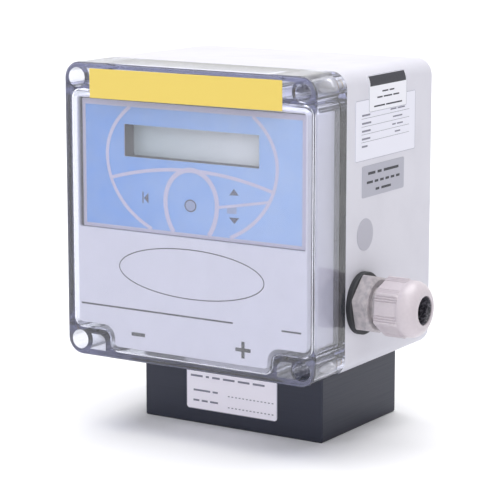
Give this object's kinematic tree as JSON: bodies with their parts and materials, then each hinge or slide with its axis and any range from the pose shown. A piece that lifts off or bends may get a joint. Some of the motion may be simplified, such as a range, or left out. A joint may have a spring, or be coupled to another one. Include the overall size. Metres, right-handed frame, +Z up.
{
  "type": "differential pressure transmitter",
  "caption": "Wall-mounted differential pressure transmitter with a deep clear lid over a keypad and display, a manifold block with two ports and a cable gland.",
  "frame": {"origin": "centre of the manifold block's flat foot, which the transmitter stands on", "axes": "+X to the viewer's right, where the cable gland is, +Y towards the wall, +Z up"},
  "size_m": [0.1487, 0.0949, 0.154],
  "materials": {
    "housing_plastic": "fine textured light grey moulding",
    "clear_polycarbonate": "clear polished polycarbonate",
    "seal_foam": "foamed polyurethane cord",
    "stainless_screw": "stainless steel",
    "insert_brass": "turned brass",
    "cover_plastic": "smooth white moulding with a silk finish",
    "keypad_film": "printed polyester film",
    "board_laminate": "green solder resist",
    "zinc_screw": "bright zinc plate",
    "display_frame_metal": "black pressed steel",
    "display_glass": "grey-green display glass",
    "switch_plastic": "black moulding",
    "terminal_plastic": "green moulding",
    "chip_plastic": "black moulding",
    "capacitor_can": "sleeved aluminium can",
    "ribbon_insulation": "grey flat cable",
    "anodised_block": "black anodised, fine milled lines",
    "seal_rubber": "nitrile rubber",
    "cell_metal": "fine turned aluminium",
    "diaphragm_steel": "stretched stainless foil",
    "washer_rubber": "black rubber",
    "gland_polyamide": "light grey polyamide",
    "sleeve_rubber": "black sealing rubber",
    "tape_yellow": "yellow laminated tape",
    "label_white": "white polyester label",
    "label_grey": "grey printed label",
    "label_silver": "silver polyester label",
    "plunger_plastic": "black moulding"
  },
  "bodies": {
    "housing": {"rear_housing": "housing_plastic", "thread_inserts": "insert_brass", "inner_cover": "cover_plastic", "keypad_overlay": "keypad_film", "display_board": "board_laminate", "display_screws": "zinc_screw", "display_frame": "display_frame_metal", "display_glass": "display_glass", "key_switches": "switch_plastic", "main_board": "board_laminate", "main_board_screws": "zinc_screw", "terminal_block": "terminal_plastic", "terminal_screws": "zinc_screw", "processor": "chip_plastic", "power_module": "chip_plastic", "capacitors": "capacitor_can", "main_header": "chip_plastic", "display_header": "chip_plastic", "ribbon_cable": "ribbon_insulation", "manifold_block": "anodised_block", "port_seals": "seal_rubber", "cell_half_low": "cell_metal", "cell_half_high": "cell_metal", "sensing_diaphragm": "diaphragm_steel", "clamp_screws": "stainless_screw", "block_screws": "stainless_screw", "gland_washer": "washer_rubber", "gland_body": "gland_polyamide", "gland_locknut": "gland_polyamide", "supplier_label": "label_white", "rating_label": "label_white", "service_label": "label_grey", "inspection_label": "label_silver", "calibration_label": "label_white"},
    "lid": {"clear_lid": "clear_polycarbonate", "lid_seal": "seal_foam", "lid_screws": "stainless_screw", "name_tape": "tape_yellow"},
    "gland_sleeve": {"gland_sleeve": "sleeve_rubber"},
    "gland_nut": {"gland_nut": "gland_polyamide"},
    "key_left": {"key_plunger_left": "plunger_plastic"},
    "key_centre": {"key_plunger_centre": "plunger_plastic"},
    "key_up": {"key_plunger_up": "plunger_plastic"},
    "key_down": {"key_plunger_down": "plunger_plastic"}
  },
  "joints": [
    {"name": "lid_lift_off", "type": "slide", "parent": "housing", "child": "lid", "axis": [0, -1, 0], "range_m": [0, 0.04]},
    {"name": "gland_sleeve_travel", "type": "slide", "parent": "housing", "child": "gland_sleeve", "axis": [1, 0, 0], "range_m": [0, 0.0045]},
    {"name": "gland_nut_turn", "type": "hinge", "parent": "gland_sleeve", "child": "gland_nut", "pos_m": [0.08, -0.0275, 0.0602], "axis": [1, 0, 0], "range_deg": [0, 1080]},
    {"name": "key_left_press", "type": "slide", "parent": "housing", "child": "key_left", "axis": [0, 1, 0], "range_m": [0, 0.00025], "stiffness_N_per_m": 400, "springref_m": -0.002},
    {"name": "key_centre_press", "type": "slide", "parent": "housing", "child": "key_centre", "axis": [0, 1, 0], "range_m": [0, 0.00025], "stiffness_N_per_m": 400, "springref_m": -0.002},
    {"name": "key_up_press", "type": "slide", "parent": "housing", "child": "key_up", "axis": [0, 1, 0], "range_m": [0, 0.00025], "stiffness_N_per_m": 400, "springref_m": -0.002},
    {"name": "key_down_press", "type": "slide", "parent": "housing", "child": "key_down", "axis": [0, 1, 0], "range_m": [0, 0.00025], "stiffness_N_per_m": 400, "springref_m": -0.002}
  ],
  "couplings": [
    {"joint": "gland_nut_turn", "follows": "gland_sleeve_travel", "rad_per_m": 4188.8}
  ]
}
